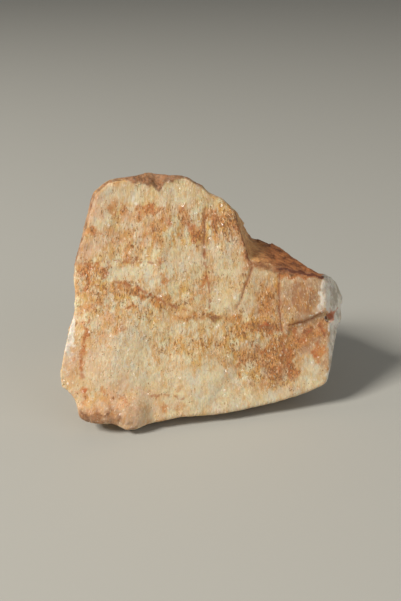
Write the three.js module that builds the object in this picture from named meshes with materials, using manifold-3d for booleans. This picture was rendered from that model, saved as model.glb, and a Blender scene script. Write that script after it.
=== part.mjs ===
// A rough hand specimen of calcite: a cleaved lump with a broad front face that leans back,
// a tall shoulder on the left, a bevelled notch on the upper right and a broken, tapering back.
// Millimetres, +Z up. X runs along the front face to the right, Y from the front face to the back.
// The origin is under the middle of the lump, on the surface that it rests on.
import * as THREE from "three";
import { mergeVertices } from "three/addons/utils/BufferGeometryUtils.js";
import { ConvexGeometry } from "three/addons/geometries/ConvexGeometry.js";
import { ImprovedNoise } from "three/addons/math/ImprovedNoise.js";
import Module from "manifold-3d";

const wasm = await Module();
wasm.setup();

// Main dimensions of the lump.
const FRONT_LEAN = THREE.MathUtils.degToRad(11); // the front face leans back by this
const DEPTH = 57; // from the front face to the back, square to the front face
const RIM_DEPTH = 2.4; // how far behind the front face the widest outline lies
const RIM_INSET = 0.9; // how far the front face's edge lies inside the widest outline
const BACK_SCALE = 0.7; // size of the back end against the widest outline
const TAPER_CENTRE = [0, 8]; // the back end shrinks towards this point of the outline
const FACE_CENTRE = [0, 36]; // a point near the middle of the front face

// How finely the rough skin is divided.
const AROUND = 112; // points around the outline
const FACE_RINGS = 15; // rings from the front face's edge to its middle
const BACK_RINGS = 4; // rings from the back end's edge to its middle
const SKIN_DEPTHS = [0, 0.9, 2.4, 7, 12, 18, 25, 32, 39, 46, 52, DEPTH];

// Roughness of the skin: height of the swell and its length.
const FACE_SWELL = [0.9, 17];
const FACE_RIPPLE = [0.4, 6];
const SIDE_SWELL = [2.4, 15];
const SIDE_RIPPLE = [1.1, 6];

// The widest outline, as [along X, up the front face], counter-clockwise from the lower left.
const OUTLINE = [
  [-40.5, 6.7], [-38, 4.8], [-33, 4.5], [-29, 3.5], [-27.5, 2], [-25, 1.1], [-22, 1.5], [-19.5, 2.5],
  [-13.5, 3], [-7.5, 3.5], [0, 3], [6, 3], [12.5, 3.5], [19.5, 4], [26.5, 5], [33.5, 6.4],
  [38.5, 7.9], [42.6, 9.3], [43.1, 10.7], [44.1, 14.6], [45.1, 20], [47.1, 25], [47.8, 28.5], [50.4, 31.5],
  [50.9, 36], [49.5, 44], [12.2, 71], [10.7, 72.5], [8.8, 74.5], [7, 75.4], [5, 76.5], [3.5, 77],
  [2.5, 79], [1, 79.5], [-0.5, 80.5], [-2.5, 82], [-6.5, 82.5], [-11, 83.5], [-13, 84.5],
  [-15.5, 83.5], [-18, 83], [-22, 82.5], [-24.5, 82.5], [-26.5, 82], [-28.5, 81], [-31, 79],
  [-32, 77], [-33, 74], [-34, 70.5], [-36, 64], [-38, 59], [-39, 53.5], [-39, 47.5], [-40, 41],
  [-42.5, 34], [-44.5, 27], [-46, 22], [-45.5, 17.5], [-43, 16], [-41.5, 12.5], [-41, 9.5],
];

// Cleavage planes that bound the lump, each through three points [x, up the face, behind the face].
const CLEAVAGES = {
  leftFacet: [[-38.3, 46, 0], [-42.8, 17.5, 0], [-46, 22, 4]],
  rightFacet: [[41.3, 45, 0], [41.8, 35, 0], [50.6, 36, 6.5]],
  backTop: [[-30, 77, 13], [5, 77, 12], [-10, 40, 45]],
  backLeft: [[-41, 40, 16], [-32, 74, 13], [-24, 20, 52]],
  backRight: [[49, 20, 14], [47, 38, 13], [28, 18, 54]],
};

// The notch on the upper right: the shoulder's wall, the sloping floor in front of the ridge
// and the crown that falls away behind it.
const SHOULDER_WALL = [[12.3, 68.8, 0], [16.2, 54.6, 0], [18.3, 68.8, 14]];
const NOTCH_FLOOR = [[18, 53.6, 0], [42, 46.6, 0], [24, 60, 13.4]];
const CROWN = [[23.8, 60.1, 13.4], [38.4, 48.9, 2], [49.5, 39.3, 5.5]];

// The blunt corner at the right-hand end of the ridge, a convex hull.
const END_BLOCK = [
  [38, 48, 1.6], [41.4, 47.8, 1.8], [46.4, 45, 5], [48, 43.2, 5.4], [50, 38.5, 6], [50.8, 35.5, 6.4],
  [41.5, 36, 0.6], [36, 40, 3], [44, 42, 12], [48, 34, 12], [38, 34, 12],
];

// Chips broken out of the edges, each a convex hull.
const TOP_CHIP = [
  [-23, 82.5, -0.6], [-12, 79.9, -0.6], [-10.6, 84.1, 4.4], [-20, 83.4, 3.4], [-23, 92, -6], [-12, 92, -6],
];
const CREST_CHIP = [
  [-13.6, 80.4, -0.6], [-11.7, 77.8, -0.6], [-10, 80.8, -0.6], [-11.4, 84.1, 4.2], [-13.4, 83.9, 4],
  [-9.4, 83.5, 3], [-13.6, 92, -6], [-10, 92, -6],
];
const RIM_CHIP = [
  [-12.4, 80.6, -0.6], [-4.4, 82.1, -0.6], [-5, 82.8, 3.2], [-11.4, 84.1, 4.2],
  [-12.4, 92, -6], [-4.4, 92, -6],
];
const LEDGE_CHIP = [
  [29, 31.8, -2], [36, 32.8, -2], [42, 35.4, -2], [30, 31.5, 0.6], [36, 32.4, 0.8], [43, 35.1, 1.4],
  [27.5, 20, -2], [47, 19, -2], [27.5, 20.5, 0], [47, 19.5, 0.2],
];

// Cleavage terraces broken out of the back, each [inner corner, lengths along the three cleavage edges].
const STEPS = [
  [[5, 61, 23.5], [-80, 60, 60]],
  [[-15, 34, 44.5], [90, 60, 60]],
  [[-12, 20, 51.5], [-60, 60, 60]],
];
const STEP_EDGES = [[0.97, 0.22, 0.06], [0.02, 0.96, -0.26], [0.22, -0.02, 0.97]];

// Rounded knobs at the lower left of the front face, each [along X, up, half width, half height, height].
const KNOBS = [
  [-24.4, 6.6, 5, 6.2, 2],
  [-33.6, 7.4, 4.6, 4.4, 1.9],
  [-39.2, 9, 2.8, 4, 1.4],
];

// A solution pit in the right-hand facet, [centre, half sizes].
const PIT = [[44, 32.6, 2.2], [2, 1.3, 1.9]];

// Fine cracks down the front face: width, depth and course.
const CRACK_WIDTH = 0.45;
const CRACK_DEPTH = 0.5;
const CRACKS = [
  [[2.2, 68], [2.2, 65], [1.8, 60.5], [1.6, 56.8]],
  [[17.1, 52.2], [16, 49], [13.9, 43.7], [11.8, 39.3]],
  [[26.4, 48.8], [25.9, 43.7], [26.1, 36.7], [26.5, 30.2]],
];

const noise = new ImprovedNoise();

// Height of a swell at a point, between about minus half and plus half of its height.
function swell([height, length], x, y, z) {
  return height * noise.noise(x / length + 7.3, y / length + 2.1, z / length + 4.7);
}

// How far the rough front face lies behind its plane at a place.
function faceRelief(x, up) {
  const bend = 0.012 * Math.max(0, -28 - x) ** 2;
  let knobs = 0;
  for (const [knobX, knobUp, halfWidth, halfHeight, height] of KNOBS) {
    const away = ((x - knobX) / halfWidth) ** 2 + ((up - knobUp) / halfHeight) ** 2;
    knobs += height * Math.exp(-away * away);
  }
  return bend - knobs + swell(FACE_SWELL, x, up * 0.6, 0) + swell(FACE_RIPPLE, x, up * 0.5, 9);
}

// A point given along X, up the front face and behind it, in the lump's upright frame.
function place(x, up, behind) {
  const y = up * Math.sin(FRONT_LEAN) + behind * Math.cos(FRONT_LEAN);
  const z = up * Math.cos(FRONT_LEAN) - behind * Math.sin(FRONT_LEAN);
  return new THREE.Vector3(x, y, z);
}

// The outline walked at equal steps.
function evenOutline() {
  const corners = OUTLINE.map((p) => new THREE.Vector2(...p));
  const path = new THREE.Path(corners);
  path.closePath();
  return path.getSpacedPoints(AROUND).slice(0, AROUND);
}

// The outline's inward direction at each point.
function inwardDirections(ring) {
  return ring.map((_, i) => {
    const before = ring[(i + AROUND - 1) % AROUND];
    const after = ring[(i + 1) % AROUND];
    const along = after.clone().sub(before).normalize();
    return new THREE.Vector2(-along.y, along.x);
  });
}

// The rough skin: rings from the middle of the front face, around its edge and along to the back.
function skin() {
  const outline = evenOutline();
  const inward = inwardDirections(outline);
  const rings = [];
  const edge = outline.map((p, i) => p.clone().addScaledVector(inward[i], RIM_INSET));
  for (let k = FACE_RINGS - 1; k >= 1; k--) {
    const share = 1 - k / FACE_RINGS;
    rings.push(edge.map((p) => {
      const x = FACE_CENTRE[0] + share * (p.x - FACE_CENTRE[0]);
      const up = FACE_CENTRE[1] + share * (p.y - FACE_CENTRE[1]);
      return place(x, up, faceRelief(x, up));
    }));
  }
  for (const behind of SKIN_DEPTHS) {
    const past = Math.max(0, behind - RIM_DEPTH);
    const scale = 1 - (1 - BACK_SCALE) * past / (DEPTH - RIM_DEPTH);
    const inset = RIM_INSET * Math.max(0, 1 - behind / RIM_DEPTH) ** 1.6;
    const rough = Math.min(1, past / 6);
    rings.push(outline.map((p, i) => {
      const x = TAPER_CENTRE[0] + scale * (p.x - TAPER_CENTRE[0]);
      const up = TAPER_CENTRE[1] + scale * (p.y - TAPER_CENTRE[1]);
      const side = swell(SIDE_SWELL, x, up, behind) + swell(SIDE_RIPPLE, x, up, behind);
      const step = inset + rough * (side + 0.3);
      const front = (1 - Math.min(1, behind / RIM_DEPTH)) * faceRelief(x, up);
      return place(x + step * inward[i].x, up + step * inward[i].y, behind + front);
    }));
  }
  const last = rings[rings.length - 1];
  const backCentre = place(TAPER_CENTRE[0], TAPER_CENTRE[1] + 20, DEPTH + 1);
  for (let k = 1; k <= BACK_RINGS; k++) {
    rings.push(last.map((p) => p.clone().lerp(backCentre, k / (BACK_RINGS + 1))));
  }
  const faceCentre = place(...FACE_CENTRE, faceRelief(...FACE_CENTRE));
  const points = [faceCentre, ...rings.flat(), backCentre];
  const at = (ring, i) => 1 + ring * AROUND + (i % AROUND);
  const end = points.length - 1;
  const faces = [];
  for (let i = 0; i < AROUND; i++) {
    faces.push(0, at(0, i), at(0, i + 1));
    faces.push(end, at(rings.length - 1, i + 1), at(rings.length - 1, i));
    for (let r = 0; r + 1 < rings.length; r++) {
      faces.push(at(r, i), at(r + 1, i), at(r + 1, i + 1));
      faces.push(at(r, i), at(r + 1, i + 1), at(r, i + 1));
    }
  }
  return new THREE.BufferGeometry().setFromPoints(points).setIndex(faces);
}

// A closed geometry as a solid that can be cut and joined.
function solid(geometry) {
  const bare = new THREE.BufferGeometry();
  bare.setAttribute("position", geometry.getAttribute("position"));
  bare.setIndex(geometry.getIndex());
  const merged = mergeVertices(bare, 1e-4);
  const mesh = new wasm.Mesh({
    numProp: 3,
    vertProperties: new Float32Array(merged.getAttribute("position").array),
    triVerts: new Uint32Array(merged.getIndex().array),
  });
  return new wasm.Manifold(mesh);
}

// Everything beyond the plane through three points, on the side away from the lump's heart.
function beyond(corners) {
  const [a, b, c] = corners.map((p) => place(...p));
  const plane = new THREE.Plane().setFromCoplanarPoints(a, b, c);
  const heart = place(0, 35, 18);
  if (plane.distanceToPoint(heart) > 0) plane.negate();
  const block = new THREE.BoxGeometry(400, 400, 200);
  block.translate(0, 0, 100);
  const turn = new THREE.Quaternion().setFromUnitVectors(new THREE.Vector3(0, 0, 1), plane.normal);
  block.applyQuaternion(turn);
  block.translate(...a.toArray());
  return solid(block);
}

// A convex chip through the given points.
function chip(corners) {
  return solid(new ConvexGeometry(corners.map((p) => place(...p))));
}

// A rounded hollow with flat facets.
function hollow([centre, half]) {
  const ball = new THREE.IcosahedronGeometry(1, 2);
  ball.scale(half[0], half[2], half[1]);
  ball.rotateX(-FRONT_LEAN);
  ball.translate(...place(...centre).toArray());
  return solid(ball);
}

// The space above a plane and to the right of the shoulder's wall.
function besideShoulder(corners) {
  return beyond(corners).intersect(beyond(SHOULDER_WALL));
}

// A rhombohedral block spanned by the cleavage edges from its inner corner.
function step([corner, lengths]) {
  const corners = [];
  for (const pick of [0, 1, 2, 3, 4, 5, 6, 7]) {
    const along = STEP_EDGES.map((edge, k) => edge.map((e) => e * lengths[k] * ((pick >> k) & 1)));
    corners.push(corner.map((c, i) => c + along[0][i] + along[1][i] + along[2][i]));
  }
  return chip(corners);
}

// The V-shaped groove of one straight piece of a crack.
function groove([x0, up0], [x1, up1]) {
  const along = new THREE.Vector2(x1 - x0, up1 - up0).normalize();
  const across = new THREE.Vector2(-along.y, along.x);
  const corners = [];
  for (const [x, up] of [[x0, up0], [x1, up1]]) {
    const floor = faceRelief(x, up) + CRACK_DEPTH;
    const half = CRACK_WIDTH;
    corners.push([x, up, floor]);
    corners.push([x + half * across.x, up + half * across.y, floor - 2 * CRACK_DEPTH]);
    corners.push([x - half * across.x, up - half * across.y, floor - 2 * CRACK_DEPTH]);
  }
  return chip(corners);
}

// Everything under the surface that the lump rests on.
function ground() {
  const block = new THREE.BoxGeometry(300, 300, 60);
  block.translate(0, 0, -30);
  return solid(block);
}

let stone = solid(skin());
stone = stone.subtract(besideShoulder(NOTCH_FLOOR));
stone = stone.subtract(besideShoulder(CROWN));
stone = stone.add(chip(END_BLOCK));
for (const corners of Object.values(CLEAVAGES)) stone = stone.subtract(beyond(corners));
for (const corners of [TOP_CHIP, CREST_CHIP, RIM_CHIP, LEDGE_CHIP]) stone = stone.subtract(chip(corners));
for (const missing of STEPS) stone = stone.subtract(step(missing));
stone = stone.subtract(hollow(PIT));
for (const course of CRACKS) {
  for (let i = 0; i + 1 < course.length; i++) stone = stone.subtract(groove(course[i], course[i + 1]));
}
stone = stone.subtract(ground());

const cut = stone.getMesh();
const geometry = new THREE.BufferGeometry();
geometry.setAttribute("position", new THREE.BufferAttribute(new Float32Array(cut.vertProperties), 3));
geometry.setIndex(new THREE.BufferAttribute(new Uint32Array(cut.triVerts), 1));
geometry.computeBoundingBox();
const middle = geometry.boundingBox.getCenter(new THREE.Vector3());
geometry.translate(-middle.x, -middle.y, -geometry.boundingBox.min.z);
geometry.computeVertexNormals();

const calcite = new THREE.MeshStandardMaterial({ color: 0xd8b48a, roughness: 0.6 });
const crystal = new THREE.Mesh(geometry, calcite);
crystal.name = "calcite_crystal";

const specimen = new THREE.Group();
specimen.add(crystal);
export default specimen;
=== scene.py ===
"""A rough lump of calcite: cream and peach, streaked down its front with orange-brown fibres, stained in
patches, cracked between its blocks, brown in the notch at the upper right and grey at the right end. Some
of
the colour is painted light: painted shade in the notch, the pit, on edges and on the right side, painted
highlights and glints in white, and painted light in the notch's left part and two pale patches."""
import math

import bpy
import numpy as np
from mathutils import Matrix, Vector


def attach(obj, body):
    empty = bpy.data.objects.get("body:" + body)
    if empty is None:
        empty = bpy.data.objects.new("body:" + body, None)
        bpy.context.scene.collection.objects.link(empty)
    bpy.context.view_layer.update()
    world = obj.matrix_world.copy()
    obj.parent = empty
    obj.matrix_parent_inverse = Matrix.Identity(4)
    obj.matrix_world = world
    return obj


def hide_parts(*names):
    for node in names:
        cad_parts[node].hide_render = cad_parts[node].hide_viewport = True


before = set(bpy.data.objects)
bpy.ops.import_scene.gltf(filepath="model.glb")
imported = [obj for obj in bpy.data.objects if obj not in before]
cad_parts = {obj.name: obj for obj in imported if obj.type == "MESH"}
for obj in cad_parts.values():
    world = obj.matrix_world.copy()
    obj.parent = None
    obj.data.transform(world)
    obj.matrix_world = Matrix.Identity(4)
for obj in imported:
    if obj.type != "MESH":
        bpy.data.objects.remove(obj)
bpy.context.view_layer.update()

MM = 0.001

# The front face: how far it leans back, where its plane meets the floor (mm), and the way in from it.
FACE_LEAN = math.radians(11)
FACE_ORIGIN = (-2.540, -30.156, 0.0)
FACE_IN = (0.0, math.cos(FACE_LEAN), -math.sin(FACE_LEAN))

# The viewpoint: degrees round and above, distance (mm), and the lens for a picture 401 by 601.
VIEW_AROUND, VIEW_ABOVE, VIEW_DISTANCE = -12.0, 25.0, 253.0
VIEW_TARGET = (0.0, 8.164, 42.0)  # mm from the front face's origin
LENS_PIXELS, PICTURE_HEIGHT = 800.0, 601.0

# The studio: each light's place (m), the side of its panel (m), its power (W) and its tint.
KEY_LIGHT = ((-1.15, -0.43, 1.12), 0.4, 31.2, (1.0, 0.97, 0.93))
FILL_LIGHT = ((0.6, -0.85, 0.55), 0.8, 2.5, (0.97, 0.98, 1.0))
LIGHTS_AIM = (0.0, 0.0, 0.04)
SKY_COLOUR, SKY_STRENGTH = (0.84, 0.83, 0.81, 1.0), 0.25
FLOOR_HALF = 3.0
FLOOR_COLOUR, FLOOR_ROUGHNESS = (175, 173, 164), 0.85

VOXEL = 0.53 * MM  # size of the skin's cells
CRACK_SINK = 0.2  # how far behind the front face the open cracks run (mm)
# The skin's large flats, as multiples of the size and height of the small ones.
LARGE_FLAT_SIZE, LARGE_FLAT_HEIGHT = 3.2, 1.8
# The fibres spread downwards: from what height, and over what length their spacing would double (mm).
FAN_TOP, FAN_LENGTH = 84.0, 250.0
FIBRE_SWAY = 0.7  # how far across the fibres sway in all (mm)
# The ledges in the notch: their way along X and down, and their length, depth and height (mm).
LEDGE_ALONG, LEDGE_DOWN = 0.84, 0.55
LEDGE_SIZE = (5.5, 1.6, 1.2)
# The left part of the notch, in the tower's shadow, where lighter colours are painted in as light: where
# it fades in and out along X (mm).
SHELTER_IN, SHELTER_OUT = (4.0, 8.0), (24.0, 13.0)
# The knobs at the lower left: where they fade in along X and downwards (mm).
KNOBS_X, KNOBS_Z = (-21.0, -28.0), (13.0, 8.0)

# The stone's colours as red, green and blue of 0 to 255: the milky ground and the fibres in it.
CREAM = (231, 219, 180)
BLUSH = (226, 202, 168)
HONEY = (219, 175, 98)
APRICOT = (217, 161, 105)
PINK = (220, 182, 153)
OCHRE = (214, 174, 98)
PALE = (232, 215, 174)
CHALK = (214, 211, 194)
MILK = (226, 214, 184)
TAN = (178, 128, 88)
AMBER = (213, 153, 70)
LIGHT_FIBRE = (238, 218, 182)
DARK_FIBRE = (190, 150, 102)
# Stains, dashes and spots; umber for the brown edges, partly painted shade; whites for painted glints and
# highlights.
HAZE = (210, 150, 88)
LIGHT_RUST = (208, 142, 76)
DARK_RUST = (192, 110, 56)
OCHRE_RUST = (210, 158, 78)
LONG_DASH = (168, 114, 62)
SHORT_DASH = (142, 96, 56)
PAINTED_GLINT = (242, 222, 188)
DARK_SPOT = (112, 72, 44)
DARK_UMBER = (118, 78, 48)
LIGHT_UMBER = (166, 116, 78)
HIGHLIGHT_WHITE = (238, 230, 214)
# Cracks, the notch (its brown partly painted shade, its lighter colours painted light), the grey end and
# the pit (its dark partly painted shade).
OPEN_MARGIN = (174, 106, 60)
HEALED_LINE = (174, 104, 58)
OPEN_CORE = (118, 66, 36)
DARK_RIDGE = (106, 62, 34)
LIGHT_RIDGE = (176, 112, 64)
DARK_RIDGE_PAINTED_LIGHT = (196, 134, 80)
LIGHT_RIDGE_PAINTED_LIGHT = (240, 186, 122)
DARK_GREY = (184, 172, 154)
LIGHT_GREY = (234, 228, 214)
EMBER = (198, 104, 54)
PIT = (96, 48, 30)

# The sill, where the front face breaks off into the notch: a point of it (mm) and its fall along X.
SILL_X, SILL_UP, SILL_FALL = 18.0, 53.4, 0.29
# The lowest point of the chip in the top edge (mm).
CHIP_X, CHIP_UP = -11.6, 77.4

# Open cracks between the blocks, as points along X and up the front face (mm).
OPEN_CRACKS = [
    [(2.6, 71.5), (2.2, 68), (2.2, 65), (1.8, 60.5), (1.6, 57.6)],
    [(17.1, 52.2), (16, 49), (13.9, 43.7), (11.8, 39.3)],
    [(26.2, 49.4), (25.9, 43.7), (26.1, 36.7), (26.5, 30.2)],
    [(29.1, 31.9), (31.5, 32.2), (34.6, 32.5), (37.3, 33.1), (39.4, 34.3), (40.8, 35.2)],
    [(25.3, 50.7), (29.7, 49.4), (34, 48.4), (38, 47.5), (41.8, 46.7)],
    [(15.2, 55.8), (16, 54.6), (17, 53.5)],
    [(39.7, 30.5), (41.7, 26.9)],
]
# Healed cracks that only show as stained, broken lines.
HEALED_CRACKS = [
    [(-35.1, 39.6), (-36.4, 35.7), (-37.9, 30.1), (-38.6, 27.5), (-39.2, 24.9), (-38.8, 21)],
    [(1.6, 57.6), (2.4, 52), (2.8, 46), (2.9, 40)],
    [(26.5, 30.2), (27.2, 25.3), (28.3, 20.7), (29.2, 13.5)],
    [(-37, 57), (-30, 57.6), (-24, 57.7), (-19, 56.5), (-12, 56)],
    [(-27, 51.6), (-20, 49), (-14, 45), (-9.5, 42), (-4, 40)],
    [(-17, 12.6), (-12, 12.2), (-7, 10.8)],
]

# A patch has faded to about a third at this multiple of its half size, and overlaps add this share.
PATCH_REACH, PATCH_OVERLAP = 1.25, 0.25
# Patches of the front: along X, up the face, half width, half height (mm), strength.
# Rust stains.
STAINS = [
    (-32.5, 67, 2.5, 1.2, 0.9), (-25.8, 74, 1.2, 3.2, 0.8), (-22.7, 73.2, 0.8, 1.5, 0.8),
    (-15.3, 72.6, 3.2, 1.6, 1), (-17.5, 71, 1, 1.5, 0.9), (-4, 70, 1.6, 2.8, 0.8),
    (-9.5, 69, 1.5, 2, 0.6), (-1.2, 64.5, 1.5, 1.8, 0.9), (-1.8, 62.5, 0.8, 1, 0.8),
    (4.5, 69.5, 1.5, 1.5, 0.9), (7, 68.5, 2.5, 1.2, 1), (9.5, 67, 2.5, 3, 0.7),
    (11.8, 69, 1.5, 2.5, 0.9), (5.5, 66, 1, 2, 0.7), (1, 65, 0.7, 4, 0.8), (-21.8, 61, 1, 3.5, 0.8),
    (-15.5, 66, 2, 3, 0.5), (-12.5, 65, 1.5, 4, 0.6), (-28.5, 62, 1.5, 1, 0.5),
    (-33.5, 55.5, 4, 1.3, 1), (-35, 50.5, 0.6, 4, 0.9), (-32.5, 50, 3, 4.5, 0.55),
    (-29.5, 54.5, 1, 2, 0.7), (-20, 57.6, 4, 0.5, 0.5), (-12.5, 56.5, 2.5, 1.2, 0.6),
    (-11.5, 51, 1.5, 1.3, 0.9), (-24, 49.3, 2, 1.5, 1), (-20.5, 47.5, 2, 1.5, 0.9),
    (-17.5, 45.6, 1.2, 0.9, 1), (-12.8, 44, 2.8, 1.6, 1), (-10.5, 42, 2, 1.5, 0.8),
    (-22.2, 42.6, 1.8, 0.6, 0.9), (-33, 44, 2, 1.5, 0.6), (1.3, 49, 1.2, 2.5, 0.8),
    (4.5, 48.5, 0.6, 1.5, 0.7), (-4, 43, 3, 1.5, 0.5), (14.6, 47.3, 0.8, 1.2, 0.9),
    (8.5, 48.5, 0.6, 1, 0.5), (5, 36.6, 2.6, 0.9, 1), (3, 37.2, 1, 0.8, 1), (10.5, 35.6, 3, 1.2, 0.9),
    (-2, 37.4, 6, 1, 0.8), (22, 44, 0.7, 1.2, 0.9), (21.5, 40, 2.2, 4.5, 0.8), (19.5, 46, 1, 1, 0.5),
    (13.5, 32.6, 3, 1.5, 1), (17.5, 32.6, 3, 1.5, 1.1), (21.5, 32, 3, 1.6, 1.1), (12, 32, 2, 2, 0.7),
    (24, 31, 1.5, 1.5, 0.9), (34, 39, 2, 2, 0.5), (33, 36, 3, 1.5, 0.35), (36.8, 43, 1.3, 0.8, 0.8),
    (36, 28.8, 1.4, 1.4, 1.2), (40.7, 30, 1.1, 2, 1.1), (31, 30, 1.5, 1, 0.8), (38.5, 28, 2, 1.5, 0.8),
    (33, 26.5, 4, 2, 0.7), (39, 20.8, 1.6, 3, 1.2), (41, 23.5, 1, 1, 0.8), (25, 21, 4.5, 6, 0.75),
    (29.5, 19.5, 1.1, 5.5, 1.2), (27, 27.5, 1, 2.5, 0.9), (32.4, 25, 1.8, 2.4, 0.5),
    (19, 22.5, 3, 3.5, 0.55), (13.5, 23, 3, 3, 0.7), (24, 15.5, 2.5, 2, 0.8), (31, 14.5, 1.5, 2, 0.8),
    (12, 17, 0.8, 3, 0.6), (7, 25, 2.5, 3.5, 0.5), (-2, 29, 8, 2.5, 0.35), (0.5, 26, 5, 2.5, 0.35),
    (-26, 36, 2.5, 1.5, 0.7), (-36.7, 35, 0.7, 3, 0.9), (-37.9, 30, 0.6, 3, 0.9),
    (-38.8, 25.5, 0.6, 2.4, 0.8), (-31.5, 33.5, 2, 2.5, 0.5), (-38.4, 15, 0.9, 2.8, 1.1),
    (-32.6, 15.6, 1.6, 0.6, 0.7), (-29, 13.6, 2, 0.5, 0.5), (-26, 12.4, 0.5, 2.2, 0.5),
    (-33, 16.6, 1, 0.7, 0.6), (-13.2, 8.5, 1.2, 1.6, 0.6), (-8, 14, 1.3, 1.2, 0.6),
    (-8.3, 8, 1.8, 1.4, 0.6), (13, 8.6, 0.4, 0.8, 0.8), (-27, 12, 4, 1.5, 0.4), (22, 52.4, 5, 1.3, 1),
    (34, 48.3, 7, 1, 1), (26.5, 49, 1.2, 2, 1), (15, 57, 1, 6, 0.9), (13.4, 66, 1, 4, 1),
]
# Where the dashes crowd.
SPECKLES = [
    (-4, 30, 16, 6.5, 0.6), (13, 28, 8, 7, 0.65), (24, 21.5, 8.5, 9, 0.9), (-20, 45, 17, 8, 0.6),
    (-14, 65, 20, 10, 0.5), (8, 66, 6, 6, 0.9), (-33, 51, 6, 7, 0.65), (-28, 30, 10, 10, 0.4),
    (-30, 36, 7, 4, 0.6), (-33, 14, 5, 3, 0.4), (22, 42, 5, 9, 0.7), (16, 33, 9, 3, 0.8),
    (34, 39, 5, 5, 0.45), (8, 50, 7, 9, 0.4), (-6, 50, 9, 7, 0.45), (12, 17, 1.6, 6, 0.6),
    (25, 14, 5, 4, 0.7), (30, 13, 2, 5, 0.7), (-9, 20, 2.5, 6, 0.4), (-15, 24, 4, 7, 0.5),
    (3, 21, 1.5, 4, 0.5), (18, 17, 1.6, 5, 0.5), (8, 19, 1.2, 5, 0.5), (-3, 19, 1.5, 4, 0.4),
    (33, 22, 2, 4, 0.4),
]
# Clear, pale stone, and pale painted as light where the face's own relief shades it, near x -22, up 29 and
# x -9.8, up 46.
PALES_AND_PAINTED_LIGHT = [
    (-6, 56, 7.5, 4.5, 0.7), (9, 54, 4.5, 7.5, 0.5), (0.5, 14.5, 9, 5, 1), (-13, 19, 6, 4, 0.6),
    (-25, 53.7, 3.5, 1.6, 1.2), (-19, 53, 3.5, 1.8, 1.2), (-14.5, 50.2, 2.5, 2, 1.2),
    (-17, 48.8, 1.5, 1, 0.8), (-24, 78.3, 5, 1.6, 0.8), (-19.5, 77, 2, 2.5, 0.9),
    (-30, 69.3, 2.2, 1.1, 1), (-0.5, 70, 0.8, 2.8, 0.8), (-5, 77, 4.5, 2.5, 0.8), (38, 11.5, 6, 3, 1),
    (35, 18.5, 2.2, 3.6, 1.1), (37.6, 15.5, 3, 2, 1), (39.3, 41.5, 2, 4.5, 0.9), (29.5, 43, 1, 4, 0.7),
    (33.5, 45, 1, 1.6, 0.7), (31.5, 37, 1.2, 2.4, 0.5), (14, 7, 20, 3, 0.8), (20.5, 48.8, 2.8, 2.2, 1),
    (17.6, 41, 1.2, 3, 0.8), (6, 32.5, 1.3, 1.5, 1), (8, 42.5, 4, 3, 0.7), (13, 41, 3, 3, 0.5),
    (-29, 26, 4, 6.5, 0.6), (-18, 22, 6, 4, 0.5), (3, 20, 2, 3, 0.5), (-6, 24, 2, 3, 0.5),
    (-22, 29, 6, 8, 1), (-12, 26, 3, 4, 0.6), (2, 31, 4, 2, 0.6), (-6, 33.5, 9, 2.2, 0.7),
    (-9.8, 46, 2, 3, 0.8), (-3, 52, 3, 3, 0.5), (-11, 60, 2.5, 4, 0.5), (-27, 72, 1.5, 3, 0.5),
]
# Clear, pinkish stone.
PINKS = [
    (-31.5, 73, 3, 4.5, 1), (-33, 62, 3.5, 2.5, 0.9), (-29, 26, 8, 12, 0.8), (33, 43, 6, 5, 0.8),
    (-18, 67, 6, 5, 0.4), (36.5, 35.5, 4, 3.5, 0.6), (-41, 26, 4, 6, 0.6), (-22, 9, 9, 5, 0.6),
    (-35, 7.5, 6, 3.4, 1.2), (-24.5, 4.5, 4, 4, 0.7), (36, 24.5, 5, 4, 0.9),
]
# Yellow-brown stone.
OCHRES = [
    (-23.5, 81.5, 2.5, 0.9, 1), (-1, 78.5, 2.5, 2, 0.8), (6, 74, 5, 2.5, 0.7), (-3, 29, 14, 8, 0.7),
    (9, 47, 5, 7, 0.6), (-37.2, 13.2, 1.1, 2, 1), (-41.5, 21, 2, 3, 0.6), (-8, 41, 7, 3, 0.6),
    (21, 44, 4, 6, 0.5), (-34, 46.5, 3, 1, 0.8), (5, 36.6, 4, 1.5, 0.8), (13, 34, 9, 3, 0.6),
    (-6, 47, 5, 4, 0.5),
]
# Painted highlights and glints in white, on corners, edges and the left facet.
PAINTED_HIGHLIGHTS = [
    (-40.6, 38.5, 1, 3, 1), (-41.4, 34.5, 1, 3, 1), (-42.6, 30.8, 0.8, 2, 1),
    (-43.3, 18.8, 0.5, 0.8, 0.8), (-19.3, 76.2, 0.5, 1.2, 0.8), (-18.6, 74.6, 0.4, 0.7, 0.7),
    (-21.6, 80.2, 0.5, 0.5, 0.8), (14.8, 27.4, 0.4, 0.8, 0.8), (32.8, 31.6, 0.9, 0.4, 0.6),
    (36.6, 34.2, 1, 0.4, 0.55), (38.4, 34.9, 0.9, 0.4, 0.55), (40.4, 39.5, 1, 2.6, 0.75),
    (39.4, 36.6, 0.9, 1.2, 0.6), (33.4, 40, 0.5, 1.4, 0.5), (29, 45.5, 0.4, 1.5, 0.45),
    (0.6, 68, 0.8, 0.4, 0.8), (-7, 78.4, 0.4, 0.8, 0.6), (11.2, 42.5, 0.4, 0.7, 0.7),
    (-36.4, 42.6, 0.7, 0.5, 0.7), (-36, 61, 0.8, 0.3, 0.6), (41, 44.4, 1.2, 1.8, 0.8),
    (39.6, 41.6, 0.6, 0.8, 0.7), (43.5, 29.5, 0.7, 1.6, 0.6), (45.5, 37.5, 1.2, 1, 0.5),
    (5.6, 44.5, 0.7, 1, 0.6), (10.6, 52, 0.6, 0.5, 0.5), (31.5, 44, 0.6, 0.6, 0.5),
    (0.3, 66, 0.4, 0.4, 0.7), (26, 22, 0.4, 0.8, 0.5), (-30.6, 69, 1.6, 0.5, 0.5),
]
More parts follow.
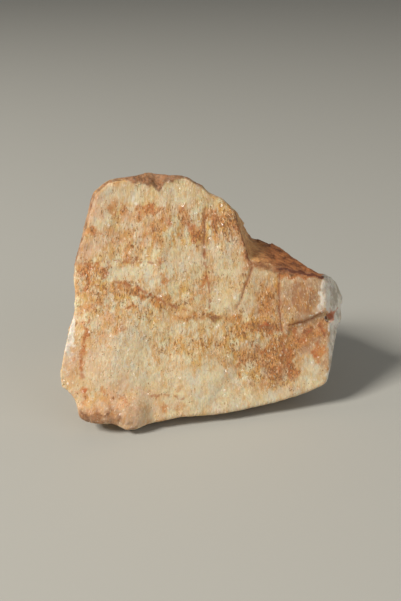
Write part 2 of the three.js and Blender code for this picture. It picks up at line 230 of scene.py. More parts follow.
# Grey stone, at the right end and on the left facet.
GREYS = [
    (46.5, 40, 4.5, 7, 1), (47, 30, 3, 6, 1), (45.2, 22, 2, 6, 0.9), (43.8, 14, 1.6, 5, 0.7),
    (42.2, 43, 2, 4, 0.6), (41, 38, 1.6, 2.5, 0.6), (-42, 34, 1.8, 7, 0.7), (-43.8, 25, 1.8, 3.5, 0.4),
    (1, 79.4, 1.2, 1, 0.6),
]
# Painted shade on the dark side of the pit, and the pit's orange side with other orange spots.
PIT_SHADE = [(42.6, 32.4, 0.6, 1.2, 1), (42.4, 34, 0.5, 0.4, 0.5)]
PIT_EMBER = [
    (44.8, 33.1, 1.9, 1.5, 1.2), (-38, 15.8, 0.7, 1.8, 0.6), (-35.2, 39.2, 0.7, 0.8, 0.5),
    (46.4, 34.2, 1, 0.8, 0.6), (41, 28.6, 0.8, 2, 0.5), (39, 20.8, 1.3, 2.6, 0.55),
    (29.5, 19.5, 0.8, 4.5, 0.4), (36, 28.8, 1.3, 1.2, 0.5), (15, 32.6, 2, 1, 0.5),
    (20.5, 32.2, 2.6, 1.1, 0.55), (36.8, 43.2, 1.4, 0.6, 0.45),
]
# Brown on edges, chips and knobs: brown stone, with painted shade along the sill and the tower's right
# edge.
BROWNS_AND_SHADE = [
    (21, 52.6, 4, 0.9, 0.6), (25.5, 51, 2, 1.2, 0.7), (29.5, 49.9, 3, 1.2, 0.8), (34, 49.4, 3, 1, 0.9),
    (39, 48.3, 3, 0.9, 0.9), (16, 32.8, 2.4, 1.2, 0.4), (21, 32.2, 2.8, 1.3, 0.5),
    (24.5, 33, 1.5, 2, 0.4), (36, 28.8, 1.6, 1.5, 0.65), (40.5, 30, 1.1, 2, 0.55),
    (38.6, 32.4, 1.6, 0.8, 0.5), (-18, 82.2, 4, 0.9, 0.7), (-14, 81.5, 3, 1.2, 0.9),
    (-11.6, 79.8, 0.9, 1.2, 0.9), (-8, 82, 2.5, 1.1, 0.9), (-3.5, 82.3, 2.5, 0.6, 0.7),
    (3.4, 77.8, 0.8, 0.8, 0.6), (7.5, 75.3, 2.2, 0.6, 0.5), (11.5, 72, 0.8, 1.5, 0.8),
    (13.4, 68, 0.7, 2.5, 0.9), (15, 62, 0.7, 3, 0.9), (16, 56.5, 0.7, 2, 0.9),
    (4.5, 36.8, 2.6, 0.9, 0.7), (10, 35.4, 2.5, 1, 0.35), (-39.6, 8.8, 1.6, 1.5, 0.6),
    (-36, 6.6, 3.5, 2, 0.6), (-33.5, 8.8, 2.5, 0.5, 0.6), (-31, 5.6, 1.8, 1.2, 0.4),
    (-28.6, 7.6, 0.5, 2, 0.5), (-24.5, 2.6, 3, 1, 0.5),
]
# Duller, tan stone, and tan painted as shade: on the right side, the left facet, bright edges and the tops
# of the knobs.
TANS_AND_SHADE = [
    (-36, 8.2, 5, 3.2, 1.2), (-30.5, 8, 3.5, 3.2, 1.2), (-24, 9, 3, 3, 0.4), (-25, 5.5, 3, 3, 0.45),
    (-33, 12, 3, 2, 0.4), (34, 40.5, 7, 8, 1.2), (35, 28, 8, 6, 1.15), (22, 40, 4, 9, 0.9),
    (25, 21, 8, 8, 0.8), (30, 51, 10, 2, 0.5), (12, 62, 2, 6, 0.3), (-36.6, 54, 1, 5, 0.6),
    (-36, 62, 1.3, 5, 0.7), (-34.2, 71, 1.3, 5, 0.7), (-31, 79, 3, 2, 0.8), (-22, 82.4, 5, 1.2, 0.6),
    (4, 78.3, 3, 1.2, 0.6), (-41, 33, 2, 6, 0.6), (-42.8, 23, 1.8, 4, 0.4), (41.6, 20, 1.8, 8, 0.9),
    (41.5, 31, 1.8, 4, 0.9), (-41, 24, 3, 10, 0.45), (-28, 44, 3, 1.5, 0.3),
]

# The marks that paint() leaves on the skin for the material to follow.
MARKS = (
    "stain", "speckle", "pale", "pink", "ochre", "tan", "white", "brown", "notch", "grey", "pit", "ember",
)


def linear(colour):
    """A colour of 0 to 255 as linear values with alpha."""
    def one(level):
        level /= 255
        return level / 12.92 if level <= 0.04045 else ((level + 0.055) / 1.055) ** 2.4

    red, green, blue = colour
    return (one(red), one(green), one(blue), 1.0)


def on_face(x, up, behind=0.0):
    """A point along X, up the front face and behind it (mm) as a place in the part's frame (m)."""
    y = up * math.sin(FACE_LEAN) + behind * math.cos(FACE_LEAN)
    z = up * math.cos(FACE_LEAN) - behind * math.sin(FACE_LEAN)
    return Vector((x + FACE_ORIGIN[0], y + FACE_ORIGIN[1], z + FACE_ORIGIN[2])) * MM


class NodeNet:
    """Short ways to add and join nodes in a tree."""

    def __init__(self, tree):
        self.tree = tree

    def add(self, kind, settings=None, **inputs):
        """A new node; an underscore in the name of an input stands for a space."""
        node = self.tree.nodes.new(kind)
        for name, value in (settings or {}).items():
            setattr(node, name, value)
        for name, value in inputs.items():
            self.feed(node.inputs[name.replace("_", " ")], value)
        return node

    def feed(self, socket, value):
        """Links another node's output to a socket, or sets the socket's own value."""
        if isinstance(value, bpy.types.NodeSocket):
            self.tree.links.new(value, socket)
        else:
            socket.default_value = value

    def number(self, operation, *values):
        node = self.tree.nodes.new("ShaderNodeMath")
        node.operation = operation
        for socket, value in zip(node.inputs, values):
            self.feed(socket, value)
        return node.outputs[0]

    def plus(self, first, second):
        return self.number("ADD", first, second)

    def minus(self, first, second):
        return self.number("SUBTRACT", first, second)

    def times(self, first, second):
        return self.number("MULTIPLY", first, second)

    def divided(self, first, second):
        return self.number("DIVIDE", first, second)

    def larger(self, first, second):
        return self.number("MAXIMUM", first, second)

    def vector(self, operation, *values):
        node = self.tree.nodes.new("ShaderNodeVectorMath")
        node.operation = operation
        sockets = [node.inputs[0], node.inputs["Scale"]] if operation == "SCALE" else node.inputs
        for socket, value in zip(sockets, values):
            self.feed(socket, value)
        return node.outputs["Value" if operation in ("DOT_PRODUCT", "LENGTH") else "Vector"]

    def span(self, value, low, high, to_low=0.0, to_high=1.0):
        """The value eased from low..high to to_low..to_high."""
        node = self.add("ShaderNodeMapRange", {"interpolation_type": "SMOOTHSTEP"})
        for socket, given in zip(node.inputs, (value, low, high, to_low, to_high)):
            self.feed(socket, given)
        return node.outputs[0]

    def parts(self, vector):
        return self.add("ShaderNodeSeparateXYZ", Vector=vector).outputs

    def joined(self, x, y, z):
        return self.add("ShaderNodeCombineXYZ", X=x, Y=y, Z=z).outputs[0]

    def noise(self, vector, seed, detail=3.0, roughness=0.55, scale=1.0):
        node = self.add("ShaderNodeTexNoise", {"noise_dimensions": "4D"}, Vector=vector, W=seed)
        node.inputs["Scale"].default_value = scale
        node.inputs["Detail"].default_value = detail
        node.inputs["Roughness"].default_value = roughness
        return node.outputs[0]

    def mix(self, share, first, second):
        node = self.add("ShaderNodeMix", {"data_type": "RGBA"})
        self.feed(node.inputs[0], share)
        self.feed(node.inputs[6], first)
        self.feed(node.inputs[7], second)
        return node.outputs[2]

    def attribute(self, name, output="Fac"):
        return self.add("ShaderNodeAttribute", {"attribute_name": name}).outputs[output]


class StoneNet(NodeNet):
    """Nodes of the stone's material, with its places (mm), the marks on its skin and the patterns that
    both its colour and its relief follow."""

    def __init__(self, tree):
        super().__init__(tree)
        place = self.add("ShaderNodeTexCoord").outputs["Object"]
        self.mm = self.vector("SCALE", place, 1000.0)
        self.x, self.y, self.z = self.parts(self.mm)
        fan = self.plus(1.0, self.divided(self.minus(FAN_TOP, self.z), FAN_LENGTH))
        sway = self.noise(self.mm, seed=27.0, detail=2.0, roughness=0.5, scale=0.6)
        sway = self.times(self.minus(sway, 0.5), FIBRE_SWAY)
        self.across = self.plus(self.divided(self.x, fan), sway)

        self.marks = {name: self.attribute(name) for name in MARKS}
        self.clear = self.larger(self.marks["pale"], self.marks["pink"])
        self.busy = self.minus(self.marks["speckle"], self.times(self.clear, 0.3))
        self.busy = self.span(self.busy, 0.0, 0.6, 0.45, 1.0)

        self.fibre = self.grain(0.5, 5.5, seed=2.0, detail=4, roughness=0.6)
        self.combed = self.span(self.grain(6, 7, seed=17.0, detail=2), 0.42, 0.6, 0.1, 1.0)
        self.blotch = self.grain(1.6, 2.8, seed=3.0, detail=3, roughness=0.6)
        self.ragged = self.grain(2.2, 2.2, seed=19.0, detail=4, roughness=0.6)
        self.ragged = self.times(self.minus(self.ragged, 0.5), 2.2)
        self.notch = self.span(self.plus(self.marks["notch"], self.ragged), 0.3, 0.7)
        self.ledge = self.ledges()

    def grain(self, width, length, seed, detail, roughness=0.55):
        """Noise drawn out along the fibres, in grains of a width and length (mm)."""
        spot = self.joined(
            self.divided(self.across, width), self.divided(self.y, width), self.divided(self.z, length))
        return self.noise(spot, seed, detail, roughness)

    def ledges(self):
        """Noise drawn out along the notch's slope."""
        along = self.minus(self.times(self.x, LEDGE_ALONG), self.times(self.z, LEDGE_DOWN))
        across = self.plus(self.times(self.x, LEDGE_DOWN), self.times(self.z, LEDGE_ALONG))
        length, depth, height = LEDGE_SIZE
        spot = self.joined(
            self.divided(along, length), self.divided(self.y, depth), self.divided(across, height))
        return self.noise(spot, seed=8.0, detail=5.0, roughness=0.7)

    def flecks(self, width, length, seed, density, soft=0.05):
        """Short marks along the fibres, from few at density 0 to many at density 1."""
        edge = self.minus(0.68, self.times(density, 0.16))
        return self.span(self.minus(self.grain(width, length, seed, detail=2), edge), 0.0, soft)

    def calmed(self, value, middle):
        """The value drawn to a middle one where the stone is clear."""
        return self.plus(middle, self.times(self.minus(value, middle), self.busy))

    def roughened(self, mark, amount):
        """A mark whose strength follows the blotches."""
        return self.plus(mark, self.times(self.minus(self.blotch, 0.5), amount))

    def between(self, share, first, second):
        """A share of the way from the first colour to the second."""
        return self.mix(share, linear(first), linear(second))

    def over(self, base, share, strength, colour):
        """The base with a colour laid over it."""
        return self.mix(self.times(share, strength), base, linear(colour))


def milky_ground(net):
    """Stone clouded between cream and peach, with pink, ochre, pale and tan places and fine fibres; some
    pale places are painted light and some tan ones painted shade.
    """
    marks = net.marks
    cloud = net.calmed(net.span(net.grain(2.4, 3.8, seed=1.0, detail=2, roughness=0.5), 0.43, 0.6), 0.45)
    tint = net.span(net.grain(3.4, 4.8, seed=22.0, detail=2, roughness=0.5), 0.4, 0.6)
    colour = net.mix(cloud, net.between(tint, CREAM, BLUSH), net.between(tint, HONEY, APRICOT))
    colour = net.over(colour, marks["pink"], 0.75, PINK)
    colour = net.over(colour, marks["ochre"], 0.55, OCHRE)
    # Pale patches: clear stone, and in two places painted light.
    colour = net.over(colour, marks["pale"], 0.8, PALE)
    chalky = net.span(net.grain(2, 5, seed=21.0, detail=3), 0.48, 0.62)
    colour = net.over(colour, net.times(marks["pale"], chalky), 0.6, CHALK)
    milky = net.calmed(net.span(net.grain(1.8, 3.2, seed=16.0, detail=2), 0.5, 0.64), 0.4)
    colour = net.over(colour, milky, 0.5, MILK)
    uneven = net.span(net.grain(2.0, 3.0, seed=28.0, detail=3), 0.38, 0.6, 0.55, 1.0)
    # Tan patches: duller stone, partly painted shade.
    colour = net.over(colour, net.times(marks["tan"], uneven), 0.9, TAN)
    glow = net.times(net.span(net.grain(1.2, 3.8, seed=23.0, detail=2), 0.46, 0.62), net.busy)
    colour = net.over(colour, glow, 0.7, AMBER)
    colour = net.over(colour, net.times(net.span(net.fibre, 0.52, 0.68), net.combed), 0.5, LIGHT_FIBRE)
    colour = net.over(colour, net.times(net.span(net.fibre, 0.5, 0.34), net.combed), 0.45, DARK_FIBRE)
    return colour, glow


def stained(net, colour, glow):
    """Stains in a soft haze that break up into rust blotches, and dashes and flecks along the fibres; the
    pale flecks are painted glints.
    """
    marks = net.marks
    colour = net.over(colour, net.span(marks["stain"], 0.1, 1.0), 0.55, HAZE)
    stain = net.minus(marks["stain"], net.times(marks["pale"], 0.35))
    edge = net.minus(0.68, net.times(stain, 0.27))
    blot = net.span(net.minus(net.blotch, edge), -0.13, 0.13)
    rust = net.between(net.span(net.grain(3, 4, seed=20.0, detail=3), 0.4, 0.6), LIGHT_RUST, DARK_RUST)
    rust = net.over(rust, marks["ochre"], 0.8, OCHRE_RUST)
    colour = net.mix(net.times(blot, 0.7), colour, rust)

    density = net.plus(net.times(marks["speckle"], 0.5), net.times(blot, 0.35))
    density = net.minus(density, net.times(net.clear, 0.35))
    density = net.plus(density, net.span(net.grain(2.5, 4, seed=18.0, detail=2), 0.4, 0.62, -0.1, 0.4))
    density = net.plus(density, net.times(glow, 0.25))
    long_dash = net.flecks(0.42, 2.0, seed=4.0, density=density, soft=0.04)
    colour = net.over(colour, long_dash, 0.8, LONG_DASH)
    short_dash = net.flecks(0.38, 0.85, seed=5.0, density=density, soft=0.04)
    colour = net.over(colour, short_dash, 0.75, SHORT_DASH)
    # Pale flecks along the fibres: painted glints.
    colour = net.over(colour, net.flecks(0.42, 1.5, seed=6.0, density=0.45), 0.65, PAINTED_GLINT)
    threads = net.span(net.grain(0.34, 2.2, seed=26.0, detail=2), 0.36, 0.58, 0.8, 1.06)
    colour = net.vector("SCALE", colour, net.calmed(threads, 0.97))
    spots = net.span(net.grain(0.8, 1.1, seed=7.0, detail=1), 0.72, 0.78)
    colour = net.over(colour, net.times(spots, density), 0.7, DARK_SPOT)
    return colour, blot, long_dash


def brown_edges_and_highlights(net, colour):
    """Umber on brown edges, partly brown stone and partly painted shade on edges, and painted highlights
    and glints in white on corners and edges.
    """
    umber = net.span(net.grain(1.5, 1.8, seed=24.0, detail=4, roughness=0.65), 0.4, 0.6)
    umber = net.between(umber, DARK_UMBER, LIGHT_UMBER)
    # Brown on edges: partly brown stone, partly painted shade.
    worn = net.span(net.roughened(net.marks["brown"], 0.9), 0.2, 0.75)
    colour = net.mix(net.times(worn, 0.9), colour, umber)
    # White marks: painted highlights and glints.
    painted_highlight = net.span(net.roughened(net.marks["white"], 1.2), 0.35, 0.75)
    return net.over(colour, painted_highlight, 0.8, HIGHLIGHT_WHITE)


def cracked(net, colour):
    """A thin dark core in the open cracks, and a stained margin along all of them."""
    across = net.noise(net.mm, seed=12.0, detail=3.0, roughness=0.6, scale=0.4)
    upward = net.noise(net.mm, seed=13.0, detail=3.0, roughness=0.6, scale=0.4)
    wander = net.vector("SUBTRACT", net.joined(across, 0.5, upward), (0.5, 0.5, 0.5))

    def beside(name, inner, outer, stray):
        """1 within inner of a crack's wandering line, easing to 0 at outer (mm)."""
        offset = net.attribute(name + "_offset", "Vector")
        away = net.vector("LENGTH", net.vector("ADD", offset, net.vector("SCALE", wander, stray)))
        return net.times(net.span(away, outer, inner), net.attribute(name + "_near"))

    broken = net.span(net.grain(1.2, 2.5, seed=14.0, detail=3), 0.38, 0.55)
    margin = net.times(beside("open", 0.0, 1.2, 1.8), net.span(broken, 0.0, 1.0, 0.5, 1.0))
    colour = net.over(colour, margin, 0.7, OPEN_MARGIN)
    colour = net.over(colour, net.times(beside("healed", 0.1, 0.8, 2.5), broken), 0.7, HEALED_LINE)
    core = net.times(beside("open", 0.05, 0.34, 1.5), net.span(broken, 0.0, 1.0, 0.6, 1.0))
    return net.over(colour, core, 0.55, OPEN_CORE)


def notch_and_end(net, colour):
    """The brown, ridged notch, its brown partly painted shade and its left part lightened with painted
    light where the tower's shadow falls, the grey end and the pit with painted shade in it, with ragged
    borders.
    """
    marks = net.marks
    light = net.span(net.ledge, 0.36, 0.62)
    # Lighter colours in the notch's left part: painted light where the tower's shadow falls.
    painted_light_share = net.times(net.span(net.x, *SHELTER_OUT), net.span(net.x, *SHELTER_IN))
    ridged = net.between(light, DARK_RIDGE, LIGHT_RIDGE)
    ridged = net.mix(painted_light_share, ridged, net.between(light, DARK_RIDGE_PAINTED_LIGHT, LIGHT_RIDGE_PAINTED_LIGHT))
    # The notch's brown: partly brown stone, partly painted shade.
    colour = net.mix(net.times(net.notch, net.span(marks["notch"], 0.0, 0.35)), colour, ridged)
    grey = net.times(net.span(net.plus(marks["grey"], net.ragged), 0.3, 0.7), marks["grey"])
    cool = net.span(net.grain(2.2, 4, seed=9.0, detail=4), 0.38, 0.6)
    colour = net.mix(grey, colour, net.between(cool, DARK_GREY, LIGHT_GREY))
    colour = net.over(colour, net.span(net.plus(marks["ember"], net.ragged), 0.3, 0.9), 0.8, EMBER)
    # Dark of the seam, and painted shade in the pit.
    return net.over(colour, net.span(marks["pit"], 0.3, 0.7), 0.85, PIT)


def fine_relief(net, long_dash):
    """Fine relief of the fibres, dashes, blotches and ledges."""
    height = net.times(net.times(net.fibre, net.combed), 0.6)
    height = net.minus(height, net.times(long_dash, 0.18))
    height = net.plus(height, net.times(net.blotch, 0.6))
    height = net.plus(height, net.times(net.grain(0.45, 0.9, seed=10.0, detail=3), 0.35))
    height = net.plus(height, net.times(net.times(net.ledge, net.notch), 2.5))
    height = net.plus(height, net.times(net.times(net.ledge, net.marks["brown"]), 2.0))
    bump = net.add("ShaderNodeBump", Strength=0.7, Height=height)
    bump.inputs["Distance"].default_value = 0.45 * MM
    return bump.outputs[0]


def calcite_material():
    """Milky calcite with fibres, orange-brown dashes, stains, cracks, a brown notch and a grey end, and
    painted shade, highlights and glints.
    """
    material = bpy.data.materials.new("calcite")
    material.use_nodes = True
    material.node_tree.nodes.clear()
    net = StoneNet(material.node_tree)
    colour, glow = milky_ground(net)
    colour, blot, long_dash = stained(net, colour, glow)
    colour = notch_and_end(net, cracked(net, brown_edges_and_highlights(net, colour)))
    relief = fine_relief(net, long_dash)

    # Small cleavage faces that glint in a waxy coat.
    cells = net.add("ShaderNodeTexVoronoi", {"voronoi_dimensions": "3D"}, Vector=net.mm, Scale=1.7)
    tilt = net.vector("SCALE", net.vector("SUBTRACT", cells.outputs["Color"], (0.5, 0.5, 0.5)), 1.5)
    glint = net.vector("NORMALIZE", net.vector("ADD", relief, tilt))
    waxy = net.noise(net.mm, seed=11.0, detail=2.0, roughness=0.5, scale=0.3)
    waxy = net.times(net.span(waxy, 0.35, 0.65, 0.12, 0.42), net.span(net.notch, 0.0, 1.0, 1.0, 0.25))
    rough = net.noise(net.mm, seed=15.0, detail=2.0, roughness=0.5, scale=0.35)
    rough = net.plus(net.span(rough, 0.3, 0.7, 0.45, 0.62), net.times(blot, 0.1))

    shader = net.add("ShaderNodeBsdfPrincipled", Base_Color=colour, Roughness=rough, Normal=relief,
                     Coat_Weight=waxy, Coat_Normal=glint)
    shader.inputs["IOR"].default_value = 1.49
    shader.inputs["Specular IOR Level"].default_value = 0.4
    shader.inputs["Coat Roughness"].default_value = 0.16
    shader.inputs["Coat IOR"].default_value = 1.5
    shader.inputs["Subsurface Weight"].default_value = 0.35
    shader.inputs["Subsurface Radius"].default_value = (1.0, 0.55, 0.3)
    shader.inputs["Subsurface Scale"].default_value = 1.1 * MM
    net.add("ShaderNodeOutputMaterial", Surface=shader.outputs[0])
    return material


def crack_lines():
    """The courses of the open cracks as edges on the front face, for the skin's tree to follow."""
    points, edges = [], []
    for course in OPEN_CRACKS:
        start = len(points)
        points += [on_face(x, up, CRACK_SINK) for x, up in course]
        edges += [(end - 1, end) for end in range(start + 1, len(points))]
    mesh = bpy.data.meshes.new("open_cracks")
    mesh.from_pydata(points, edges, [])
    lines = bpy.data.objects.new("open_cracks", mesh)
    bpy.context.scene.collection.objects.link(lines)
    return lines


def skin_inputs(tree):
    """The named inputs of the skin's tree, with their sizes in mm."""
    face = tree.interface
    face.new_socket("Geometry", in_out="INPUT", socket_type="NodeSocketGeometry")
    for name, value in (
        ("Fibre Height", 0.22), ("Fibre Width", 1.1), ("Fibre Length", 5.0),
        ("Swell Height", 0.5), ("Swell Size", 5.0),
        ("Chip Height", 1.3), ("Chip Size", 4.2),
        ("Crack Depth", 0.12), ("Crack Width", 0.7), ("Seed", 11.0),
    ):
        face.new_socket(name, in_out="INPUT", socket_type="NodeSocketFloat").default_value = value
    face.new_socket("Open Cracks", in_out="INPUT", socket_type="NodeSocketObject")
    face.new_socket("Material", in_out="INPUT", socket_type="NodeSocketMaterial")
    face.new_socket("Geometry", in_out="OUTPUT", socket_type="NodeSocketGeometry")


def first_vector(sockets):
    """The first of a node's sockets that holds a vector."""
    return next(socket for socket in sockets if socket.type == "VECTOR")


def skin_tree():
    """The tree that breaks up the cleaved lump: fibres, swells, chipped sides and open cracks."""
    tree = bpy.data.node_groups.new("StoneSkin", "GeometryNodeTree")
    skin_inputs(tree)
    net = NodeNet(tree)
    given = net.add("NodeGroupInput").outputs
    position = net.add("GeometryNodeInputPosition").outputs[0]
    normal = net.add("GeometryNodeInputNormal").outputs[0]

    # The lump's coarse facets are worn a little.
    worn = net.add("GeometryNodeBlurAttribute", {"data_type": "FLOAT_VECTOR"}, Iterations=2)
    net.feed(first_vector(worn.inputs), position)
    soft = net.add("GeometryNodeSetPosition", Geometry=given["Geometry"],
                   Position=first_vector(worn.outputs))

    mm = net.vector("SCALE", position, 1000.0)
    x, y, z = net.parts(mm)
    wide = given["Fibre Width"]
    threads = net.joined(net.divided(x, wide), net.divided(y, wide), net.divided(z, given["Fibre Length"]))
    fibre = net.minus(net.noise(threads, given["Seed"], detail=4.0, roughness=0.6), 0.5)
    swells = net.vector("SCALE", mm, net.divided(1.0, given["Swell Size"]))
    swell = net.minus(net.noise(swells, given["Seed"], detail=3.0, roughness=0.5), 0.5)

    # Sides, back and the knobs at the lower left are broken into small cleaved flats at two sizes.
    outward = tuple(-part for part in FACE_IN)
    side = net.span(net.vector("DOT_PRODUCT", normal, outward), 0.9, 0.55)
    behind = net.vector("DOT_PRODUCT", net.vector("SUBTRACT", mm, FACE_ORIGIN), FACE_IN)
    side = net.times(side, net.span(behind, 2.0, 18.0, 0.12, 1.0))
    knobs = net.times(net.span(x, *KNOBS_X), net.span(z, *KNOBS_Z))
    side = net.larger(side, net.times(knobs, 0.35))

    def flats(size):
        """Heights of flats of about this size (mm), each with a tilt of its own."""
        spread = net.vector("SCALE", mm, net.divided(1.0, size))
        spread = net.vector("ADD", spread, net.vector("SCALE", net.joined(swell, swell, fibre), 0.6))
        cell = net.add("ShaderNodeTexVoronoi", {"voronoi_dimensions": "3D", "feature": "F1"},
                       Vector=spread, Scale=1.0)
        tilt = net.vector("SUBTRACT", cell.outputs["Color"], (0.5, 0.5, 0.5))
        return net.vector("DOT_PRODUCT", net.vector("SUBTRACT", spread, cell.outputs["Position"]), tilt)

    small = flats(given["Chip Size"])
    large = net.times(flats(net.times(given["Chip Size"], LARGE_FLAT_SIZE)), LARGE_FLAT_HEIGHT)
    chip = net.times(net.plus(small, large), side)

    # Grooves along the open cracks.
    lines = net.add("GeometryNodeObjectInfo", {"transform_space": "RELATIVE"}, Object=given["Open Cracks"])
    gap = net.add("GeometryNodeProximity", {"target_element": "EDGES"})
    net.feed(gap.inputs[0], lines.outputs["Geometry"])
    groove = net.span(net.times(gap.outputs["Distance"], 1000.0), given["Crack Width"], 0.1)

    # All of it raises or sinks the skin, apart from the base, which stays flat.
    rise = net.times(fibre, given["Fibre Height"])
    rise = net.plus(rise, net.times(swell, given["Swell Height"]))
    rise = net.plus(rise, net.times(chip, given["Chip Height"]))
    rise = net.minus(rise, net.times(groove, given["Crack Depth"]))
    off_floor = net.span(z, 0.15, 2.5)
    rise = net.times(net.times(rise, off_floor), MM)
    shift = net.vector("SCALE", normal, rise)
    moved = net.add("GeometryNodeSetPosition", Geometry=soft.outputs[0], Offset=shift)

    smooth = net.add("GeometryNodeSetShadeSmooth", Geometry=moved.outputs[0])
    real = net.add("GeometryNodeRealizeInstances", Geometry=smooth.outputs[0])
    coat = net.add("GeometryNodeSetMaterial", Geometry=real.outputs[0], Material=given["Material"])
    net.add("NodeGroupOutput", Geometry=coat.outputs[0])
    return tree


def set_input(modifier, name, value):
    """Sets a named input of a modifier's tree."""
    for item in modifier.node_group.interface.items_tree:
        if item.item_type == "SOCKET" and item.in_out == "INPUT" and item.name == name:
            modifier[item.identifier] = value


def stone_skin(material):
    """The lump with its broken, fibrous skin as one plain mesh."""
    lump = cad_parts["calcite_crystal"].data.copy()
    stone = bpy.data.objects.new("stone_skin", lump)
    bpy.context.scene.collection.objects.link(stone)
    weld = stone.modifiers.new("weld", "WELD")
    weld.merge_threshold = 0.002 * MM
    cells = stone.modifiers.new("cells", "REMESH")
    cells.mode = "VOXEL"
    cells.voxel_size = VOXEL
    skin = stone.modifiers.new("skin", "NODES")
    skin.node_group = skin_tree()
    opened = crack_lines()
    set_input(skin, "Open Cracks", opened)
    set_input(skin, "Material", material)

    graph = bpy.context.evaluated_depsgraph_get()
    made = bpy.data.meshes.new_from_object(stone.evaluated_get(graph))
    stone.modifiers.clear()
    stone.data = made
    bpy.data.objects.remove(opened)
    return stone


def eased(value, low, high):
    """The value as a share of 0 to 1 that eases from low to high."""
    share = np.clip((value - low) / (high - low), 0, 1)
    return share * share * (3 - 2 * share)


class SkinPlaces:
    """Where each point of the skin lies along X, up the front face and behind it (mm), how it is turned,
    and how far it counts as the front."""

    def __init__(self, mesh):
        self.count = len(mesh.vertices)
        spots = self.read(mesh, "co") / MM - np.array(FACE_ORIGIN)
        tilts = self.read(mesh, "normal")
        self.x = spots[:, 0]
        self.up = spots[:, 1] * math.sin(FACE_LEAN) + spots[:, 2] * math.cos(FACE_LEAN)
        self.behind = spots[:, 1] * math.cos(FACE_LEAN) - spots[:, 2] * math.sin(FACE_LEAN)
        self.to_right = tilts[:, 0]
        self.facing = tilts[:, 2] * math.sin(FACE_LEAN) - tilts[:, 1] * math.cos(FACE_LEAN)
        self.front = eased(-tilts[:, 1], 0.05, 0.45) * eased(self.behind, 9, 4)
        x, up = self.x, self.up
        self.stray_x = 0.45 * np.sin(1.1 * up + 0.6 * x) + 0.3 * np.sin(2.7 * up - 1.9 * x + 1)
        self.stray_up = 0.45 * np.sin(1.2 * x - 0.5 * up + 2) + 0.3 * np.sin(2.3 * x + 1.7 * up)

    def read(self, mesh, what):
        """One vector for each point of a mesh."""
        values = np.empty(self.count * 3)
        mesh.vertices.foreach_get(what, values)
        return values.reshape(-1, 3)

    def patches(self, strokes, firmness=1.5, wander=1):
        """Soft patches with borders that stray a little."""
        at_x, at_up = self.x + wander * self.stray_x, self.up + wander * self.stray_up
        marks = np.zeros(self.count)
        for patch_x, patch_up, half_x, half_up, strength in strokes:
            away_x = (at_x - patch_x) / (half_x * PATCH_REACH)
            away_up = (at_up - patch_up) / (half_up * PATCH_REACH)
            mark = strength * np.exp(-(away_x ** 2 + away_up ** 2) ** firmness)
            marks = np.maximum(marks, mark) + PATCH_OVERLAP * np.minimum(marks, mark)
        return np.clip(marks, 0, 1.2) * self.front

    def offsets(self, courses):
        """How far along X and up the face the nearest course lies, and how near that is."""
        nearest = np.full(self.count, 99.0)
        offset = np.zeros((self.count, 3))
        for course in courses:
            for (start_x, start_up), (end_x, end_up) in zip(course, course[1:]):
                run_x, run_up = end_x - start_x, end_up - start_up
                along = (self.x - start_x) * run_x + (self.up - start_up) * run_up
                share = np.clip(along / (run_x ** 2 + run_up ** 2), 0, 1)
                off_x = self.x - start_x - share * run_x
                off_up = self.up - start_up - share * run_up
                away = np.hypot(off_x, off_up)
                closer = away < nearest
                nearest[closer] = away[closer]
                offset[closer, 0] = off_x[closer]
                offset[closer, 2] = off_up[closer]
        return offset, eased(nearest, 3.2, 2.2) * self.front


def notch_marks(skin):
    """The notch above its sill, the brown lip along the sill and the dark seam in it; the notch's brown
    and the lip are partly painted shade.
    """
    x, up, behind = skin.x, skin.up, skin.behind
    sill = SILL_UP - SILL_FALL * (x - SILL_X)
    deep = eased(behind, 24, 15)
    notch = eased(up, sill - 0.5, sill + 0.6) * eased(x, 12, 15) * eased(behind, 0.1, 1.2) * deep
    wall = eased(x, 12.0, 13.0) * eased(up, 52, 53) * eased(behind, 0.5, 1.6) * deep
    near = eased(behind, 7, 4)
    lip = eased(np.abs(up - sill + 0.5 - 1.1 * eased(x, 23, 28)), 1.9, 0.7) * near * eased(x, 43, 40)
    lip *= 0.5 * eased(x, 14, 18) + 0.4 * eased(x, 23, 26)
    seam = eased(np.abs(up + 0.5 * skin.stray_up - sill), 0.75, 0.2) * near
    seam *= 0.8 * eased(x, 21, 28) * eased(x, 43, 41)
    return np.maximum(notch, wall), lip, seam


def chip_marks(skin):
    """Brown on the chip in the top edge: steep from its lowest point, then flatter to both sides."""
    x, up = skin.x, skin.up
    left = np.minimum(CHIP_UP + (CHIP_X - x) * 1.2, 79.6 - (x + 12) * 0.2)
    right = np.minimum(CHIP_UP + (x - CHIP_X) * 1.3, 79.8 + (x - CHIP_X) * 0.18)
    low = np.where(x < CHIP_X, left, right)
    chips = 0.95 * eased(up, low - 1.3, low + 1.5)
    return chips * eased(np.abs(x + 11.5), 12, 8) * eased(skin.behind, 9, 5)


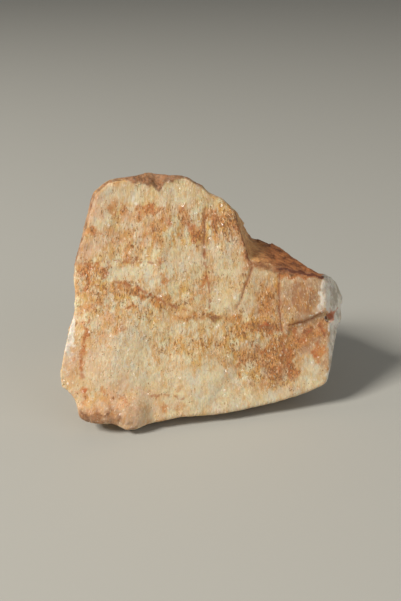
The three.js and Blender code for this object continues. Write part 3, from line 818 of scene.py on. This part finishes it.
def paint(stone):
    """Marks the stains, the pale and pink places, the brown notch and the grey end on the skin, with the
    painted shade, highlights and light among them.
    """
    mesh = stone.data
    skin = SkinPlaces(mesh)
    notch, lip, seam = notch_marks(skin)
    chips = chip_marks(skin)
    # Painted shade where the upper left of the skin turns away from the front.
    turned_edge_shade = 0.6 * eased(skin.facing, 0.95, 0.6) * eased(skin.up, 40, 60)
    turned_edge_shade *= eased(skin.x, 6, 0) * eased(skin.behind, 13, 1)
    end = eased(skin.to_right, 0.15, 0.6) * eased(skin.x, 39, 42.5) * eased(skin.behind, 16, 9)
    marks = {
        "stain": skin.patches(STAINS, 2.2) + 0.25 * (1 - skin.front),
        "speckle": skin.patches(SPECKLES, 1.0) + 0.45 * (1 - skin.front),
        "pale": skin.patches(PALES_AND_PAINTED_LIGHT),
        "pink": skin.patches(PINKS),
        "ochre": skin.patches(OCHRES),
        "tan": skin.patches(TANS_AND_SHADE),
        "white": skin.patches(PAINTED_HIGHLIGHTS, wander=0.3),
        # Brown: brown stone, with painted shade on the turned edges, the sill and the tower's edge.
        "brown": np.maximum.reduce([turned_edge_shade, lip, chips, skin.patches(BROWNS_AND_SHADE)]),
        "notch": np.clip(np.maximum(notch, chips * 0.3), 0, 1),
        "grey": np.maximum(end * 0.9, skin.patches(GREYS)),
        # The pit mark: the dark seam, and painted shade in the pit.
        "pit": np.maximum(seam, skin.patches(PIT_SHADE, wander=0.4)),
        "ember": skin.patches(PIT_EMBER),
    }
    for name, courses in (("open", OPEN_CRACKS), ("healed", HEALED_CRACKS)):
        offset, marks[name + "_near"] = skin.offsets(courses)
        layer = mesh.attributes.new(name + "_offset", "FLOAT_VECTOR", "POINT")
        layer.data.foreach_set("vector", offset.astype(np.float32).ravel())
    for name, values in marks.items():
        layer = mesh.attributes.new(name, "FLOAT", "POINT")
        layer.data.foreach_set("value", values.astype(np.float32))


def pale_floor():
    """A plain square floor under the stone."""
    corners = [(-FLOOR_HALF, -FLOOR_HALF, 0), (FLOOR_HALF, -FLOOR_HALF, 0),
               (FLOOR_HALF, FLOOR_HALF, 0), (-FLOOR_HALF, FLOOR_HALF, 0)]
    mesh = bpy.data.meshes.new("floor")
    mesh.from_pydata(corners, [], [(0, 1, 2, 3)])
    floor = bpy.data.objects.new("floor", mesh)
    bpy.context.scene.collection.objects.link(floor)
    material = bpy.data.materials.new("pale_floor")
    material.use_nodes = True
    shader = material.node_tree.nodes["Principled BSDF"]
    shader.inputs["Base Color"].default_value = linear(FLOOR_COLOUR)
    shader.inputs["Roughness"].default_value = FLOOR_ROUGHNESS
    mesh.materials.append(material)


def panel(name, where, size, power, tint):
    """A square soft light that points at the stone."""
    lamp = bpy.data.lights.new(name, "AREA")
    lamp.size = size
    lamp.energy = power
    lamp.color = tint
    light = bpy.data.objects.new(name, lamp)
    bpy.context.scene.collection.objects.link(light)
    light.location = where
    aim = Vector(LIGHTS_AIM) - light.location
    light.rotation_euler = aim.to_track_quat("-Z", "Y").to_euler()


def studio():
    """Two soft panels and a dim, even sky."""
    panel("key", *KEY_LIGHT)
    panel("fill", *FILL_LIGHT)
    world = bpy.data.worlds.new("studio")
    world.use_nodes = True
    sky = world.node_tree.nodes["Background"]
    sky.inputs["Color"].default_value = SKY_COLOUR
    sky.inputs["Strength"].default_value = SKY_STRENGTH
    bpy.context.scene.world = world
    bpy.context.scene.view_settings.view_transform = "Standard"


def viewpoint():
    """The camera, in front of the stone, a little to the left and above."""
    around, above = math.radians(VIEW_AROUND), math.radians(VIEW_ABOVE)
    level = math.cos(above)
    back = Vector((math.sin(around) * level, -math.cos(around) * level, math.sin(above)))
    target = (Vector(FACE_ORIGIN) + Vector(VIEW_TARGET)) * MM
    camera = bpy.data.cameras.new("camera")
    camera.sensor_width = 36.0
    camera.lens = LENS_PIXELS / PICTURE_HEIGHT * camera.sensor_width
    camera.clip_start = 0.01
    eye = bpy.data.objects.new("camera", camera)
    bpy.context.scene.collection.objects.link(eye)
    eye.location = target + back * VIEW_DISTANCE * MM
    eye.rotation_euler = (-back).to_track_quat("-Z", "Y").to_euler()
    bpy.context.scene.camera = eye


viewpoint()
studio()
pale_floor()
stone = stone_skin(calcite_material())
paint(stone)
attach(stone, "root")
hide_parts("calcite_crystal")
